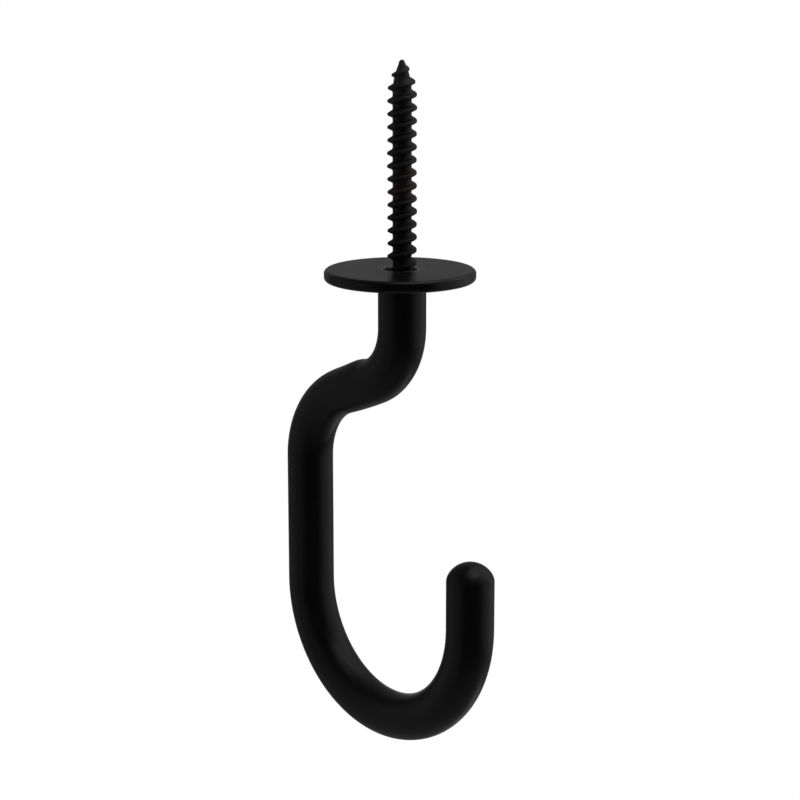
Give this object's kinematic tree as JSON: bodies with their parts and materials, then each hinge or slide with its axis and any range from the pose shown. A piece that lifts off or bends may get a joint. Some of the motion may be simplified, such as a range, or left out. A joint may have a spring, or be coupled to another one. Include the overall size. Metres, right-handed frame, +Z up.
{
  "type": "ceiling hook",
  "caption": "Black ceiling hook: a round bar bent into an open J below a sideways neck, with a loose round cover disc and a coarse wood screw that fixes it to a ceiling.",
  "frame": {"origin": "where the wood screw's axis meets the ceiling, in the plane of the cover disc's upper face", "axes": "+Z up along the screw into the ceiling, the bar bends in the XZ plane and the hook's free end rises on the +X side"},
  "size_m": [0.0495, 0.0257, 0.1193],
  "materials": {
    "black_coat": "smooth satin black powder coat",
    "black_screw": "black finished rolled steel thread"
  },
  "bodies": {
    "root": {"hook_rod": "black_coat", "ceiling_disc": "black_coat", "hanger_screw": "black_screw"}
  },
  "joints": []
}
